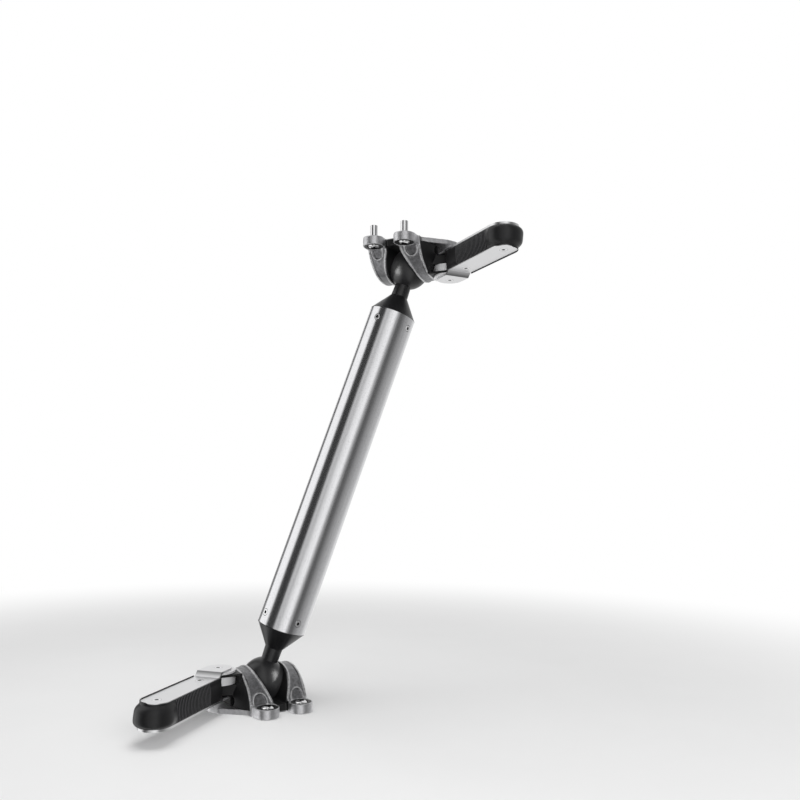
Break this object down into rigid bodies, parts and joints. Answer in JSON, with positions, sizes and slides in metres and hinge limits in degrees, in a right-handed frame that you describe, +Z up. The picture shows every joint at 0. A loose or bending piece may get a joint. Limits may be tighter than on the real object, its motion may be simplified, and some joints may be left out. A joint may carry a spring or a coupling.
{
  "type": "adjustable double-ball support arm",
  "caption": "Support arm: a straight tube with a ball at each end, each held in a saddle mount that clamps it with a folding cam lever.",
  "frame": {"origin": "centre of the lower deck screw pattern, on the deck face, under the lower ball", "axes": "+X along the lower clamp axis away from its lever, +Z up from the deck"},
  "size_m": [0.3445, 0.3031, 0.5138],
  "materials": {
    "bead_blasted_steel": "satin bead-blasted cast stainless steel",
    "black_coated_steel": "satin black coating over cast steel",
    "polished_steel": "polished stainless steel",
    "brushed_plate": "brushed stainless sheet",
    "satin_tube": "satin stainless tube",
    "black_anodised": "satin black anodised",
    "black_acetal": "matt",
    "grip_rubber": "matt ribbed"
  },
  "bodies": {
    "lower_base": {"lower_base_casting": "bead_blasted_steel", "lower_lever_housing": "black_coated_steel", "lower_housing_bolts": "polished_steel", "lower_backing_disc": "polished_steel", "lower_adjuster_screw": "black_coated_steel", "lower_deck_screws": "polished_steel", "lower_deck_washers": "black_acetal"},
    "lower_lever": {"lower_lever_upper_plate": "brushed_plate", "lower_lever_lower_plate": "brushed_plate", "lower_lever_grip": "grip_rubber", "lower_lever_cam_core": "polished_steel", "lower_lever_hub_disc": "polished_steel", "lower_lever_pivot_pin": "polished_steel", "lower_lever_pivot_screws": "polished_steel", "lower_lever_grip_spacers": "polished_steel", "lower_lever_grip_screws": "polished_steel"},
    "lower_plunger": {"lower_thrust_plunger": "polished_steel"},
    "lower_pads": {"lower_left_seat_pad": "black_acetal", "lower_right_seat_pad": "black_acetal"},
    "lower_ball": {"lower_ball": "black_anodised"},
    "upper_base": {"upper_base_casting": "bead_blasted_steel", "upper_lever_housing": "black_coated_steel", "upper_housing_bolts": "polished_steel", "upper_backing_disc": "polished_steel", "upper_adjuster_screw": "black_coated_steel", "upper_deck_screws": "polished_steel", "upper_deck_washers": "black_acetal"},
    "upper_lever": {"upper_lever_upper_plate": "brushed_plate", "upper_lever_lower_plate": "brushed_plate", "upper_lever_grip": "grip_rubber", "upper_lever_cam_core": "polished_steel", "upper_lever_hub_disc": "polished_steel", "upper_lever_pivot_pin": "polished_steel", "upper_lever_pivot_screws": "polished_steel", "upper_lever_grip_spacers": "polished_steel", "upper_lever_grip_screws": "polished_steel"},
    "upper_plunger": {"upper_thrust_plunger": "polished_steel"},
    "upper_pads": {"upper_left_seat_pad": "black_acetal", "upper_right_seat_pad": "black_acetal"},
    "upper_ball": {"upper_ball": "black_anodised"},
    "arm": {"arm_tube": "satin_tube", "lower_ball_stem": "black_anodised", "upper_ball_stem": "black_anodised", "lower_tube_screws": "polished_steel", "upper_tube_screws": "polished_steel"}
  },
  "joints": [
    {"name": "lower_lever_turn", "type": "hinge", "parent": "lower_base", "child": "lower_lever", "pos_m": [-0.049, 0, 0.023], "axis": [0, 0, 1], "range_deg": [-90, 0]},
    {"name": "lower_plunger_travel", "type": "slide", "parent": "lower_base", "child": "lower_plunger", "axis": [1, 0, 0], "range_m": [-0.0015, 0]},
    {"name": "upper_lever_turn", "type": "hinge", "parent": "upper_base", "child": "upper_lever", "pos_m": [0.15435, -0.1174, 0.46344], "axis": [0, 0, -1], "range_deg": [-90, 0]},
    {"name": "upper_plunger_travel", "type": "slide", "parent": "upper_base", "child": "upper_plunger", "axis": [-0.5, 0.866, 0], "range_m": [-0.0015, 0]},
    {"name": "lower_swing", "type": "hinge", "parent": "lower_base", "child": "lower_pads", "pos_m": [0, 0, 0.023], "axis": [1, 0, 0], "range_deg": [-60, 41]},
    {"name": "lower_tilt", "type": "hinge", "parent": "lower_pads", "child": "lower_ball", "pos_m": [0, 0, 0.023], "axis": [0, 0.9858, 0.1678], "range_deg": [-34, 2]},
    {"name": "lower_spin", "type": "hinge", "parent": "lower_ball", "child": "arm", "pos_m": [0, 0, 0.023], "axis": [0.2791, -0.1611, 0.9466], "continuous": true},
    {"name": "upper_spin", "type": "hinge", "parent": "arm", "child": "upper_ball", "pos_m": [0.12985, -0.07497, 0.46344], "axis": [0.2791, -0.1611, 0.9466], "continuous": true},
    {"name": "upper_tilt", "type": "hinge", "parent": "upper_ball", "child": "upper_pads", "pos_m": [0.12985, -0.07497, 0.46344], "axis": [-0.8537, -0.4929, 0.1678], "range_deg": [-34, 2]},
    {"name": "upper_swing", "type": "hinge", "parent": "upper_pads", "child": "upper_base", "pos_m": [0.12985, -0.07497, 0.46344], "axis": [0.5, -0.866, 0], "range_deg": [-60, 41]}
  ],
  "couplings": [
    {"joint": "lower_plunger_travel", "follows": "lower_lever_turn", "m_per_rad": 0.00095},
    {"joint": "upper_plunger_travel", "follows": "upper_lever_turn", "m_per_rad": 0.00095}
  ]
}
